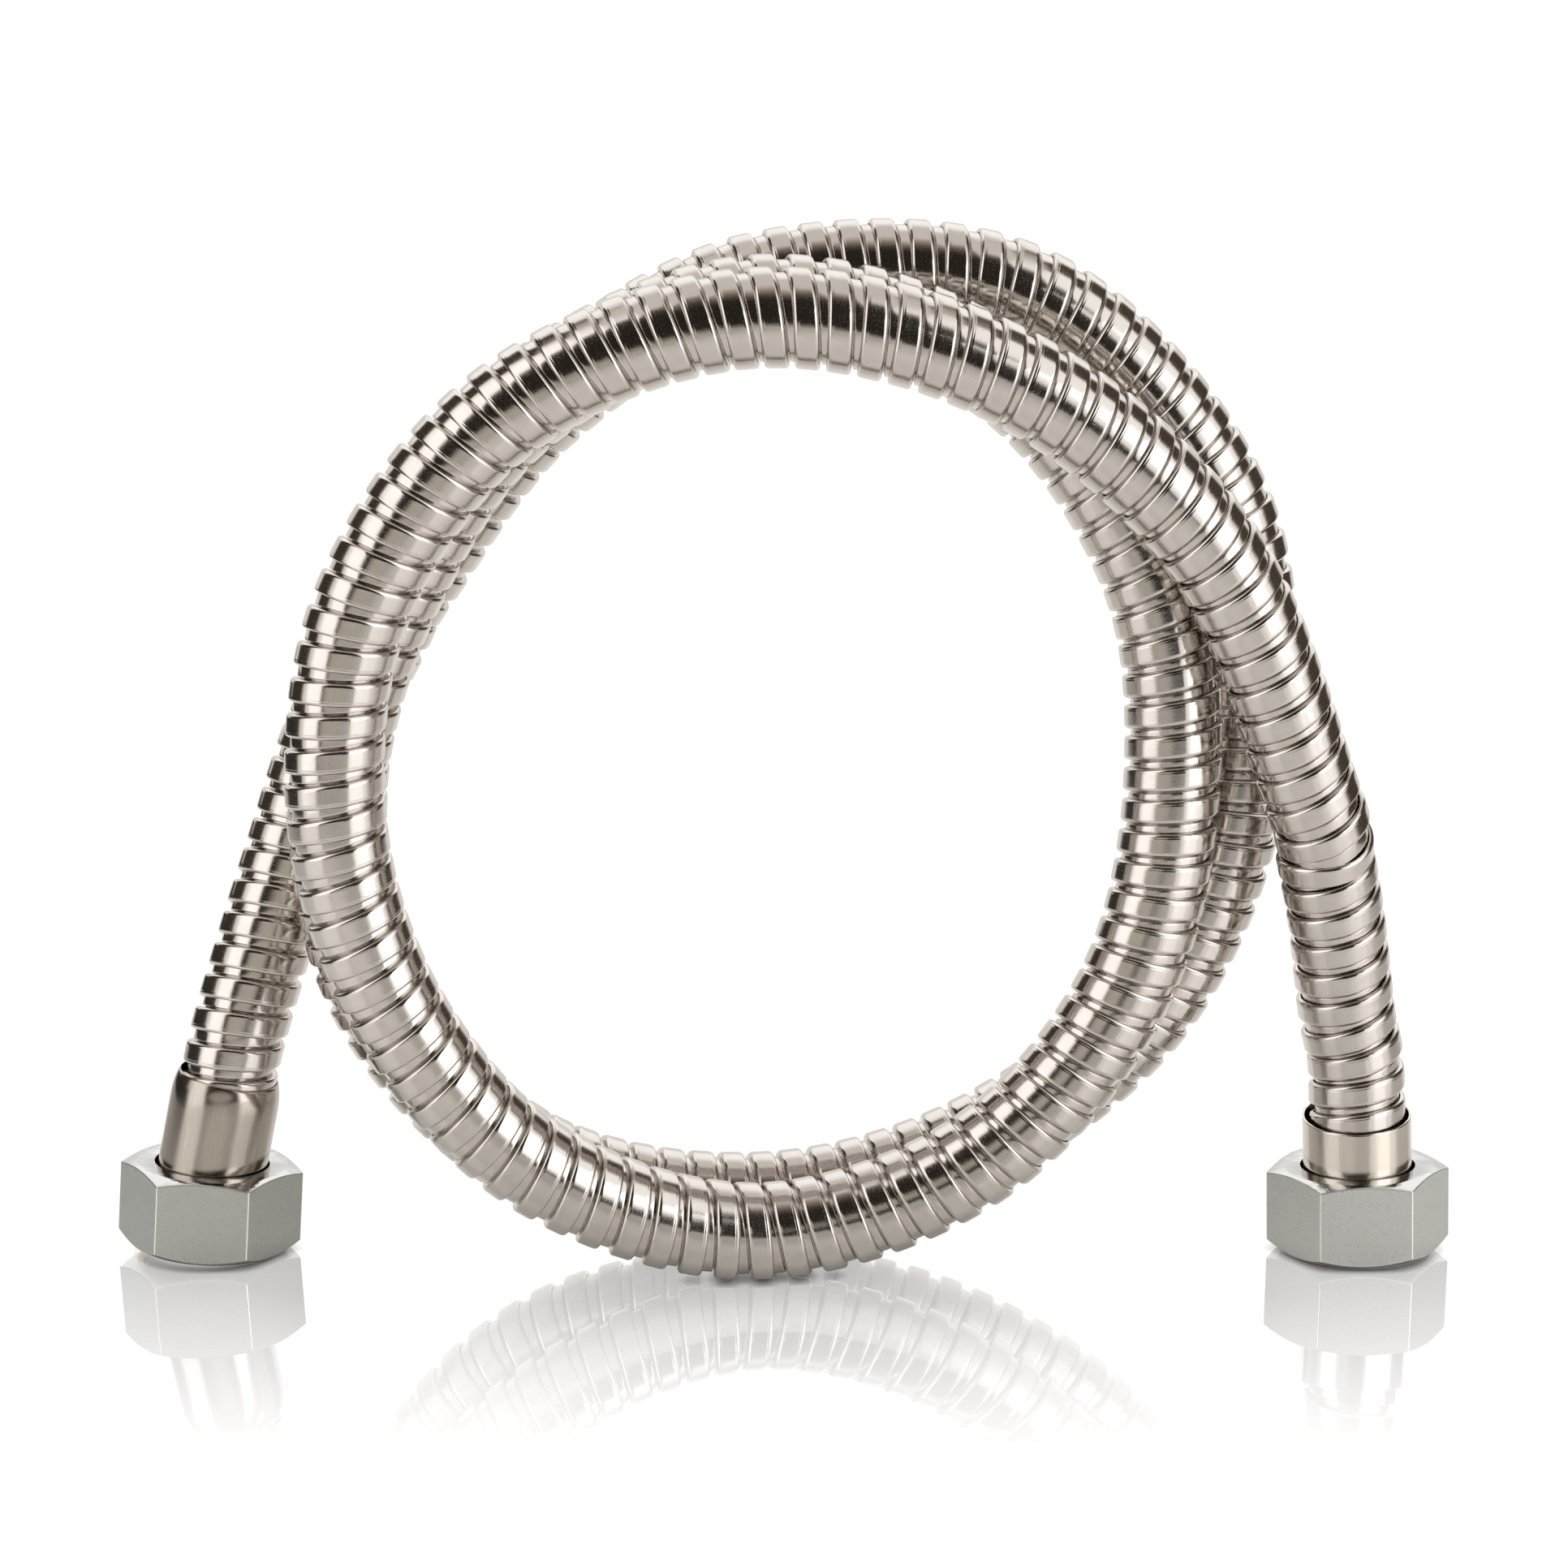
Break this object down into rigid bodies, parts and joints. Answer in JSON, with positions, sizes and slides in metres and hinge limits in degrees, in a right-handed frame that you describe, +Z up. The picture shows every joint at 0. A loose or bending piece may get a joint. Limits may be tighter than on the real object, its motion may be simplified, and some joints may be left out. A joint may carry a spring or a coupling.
{
  "type": "shower hose",
  "caption": "Flexible strip-wound steel shower hose, coiled in loose turns, with a hex swivel nut and sleeve at each end.",
  "frame": {"origin": "midway between the two swivel nuts, on the surface that they stand on", "axes": "+X from the tap end's nut towards the handset end's nut, +Y away from the front, +Z up"},
  "size_m": [0.1936, 0.0496, 0.1489],
  "materials": {
    "casing_steel": "bright rolled stainless strip",
    "tube_rubber": "matt extruded rubber",
    "satin_nut": "satin chrome-plated, with a turned top face",
    "sleeve_steel": "drawn stainless sleeve, brushed along its length",
    "insert_brass": "turned brass",
    "grip_plastic": "moulded acetal",
    "washer_rubber": "moulded rubber"
  },
  "bodies": {
    "hose": {"steel_casing": "casing_steel", "water_tube": "tube_rubber", "tap_sleeve": "sleeve_steel", "tap_insert": "insert_brass", "tap_grip_ring": "grip_plastic", "tap_washer": "washer_rubber", "handset_sleeve": "sleeve_steel", "handset_insert": "insert_brass", "handset_grip_ring": "grip_plastic", "handset_washer": "washer_rubber"},
    "tap_nut": {"tap_nut": "satin_nut"},
    "handset_nut": {"handset_nut": "satin_nut"}
  },
  "joints": [
    {"name": "tap_nut_turn", "type": "hinge", "parent": "hose", "child": "tap_nut", "pos_m": [-0.08371, 0, 0.00064], "axis": [0.061, 0, 0.9981], "continuous": true},
    {"name": "handset_nut_turn", "type": "hinge", "parent": "hose", "child": "handset_nut", "pos_m": [0.08349, 0, 0.00022], "axis": [-0.0209, 0, 0.9998], "continuous": true}
  ]
}
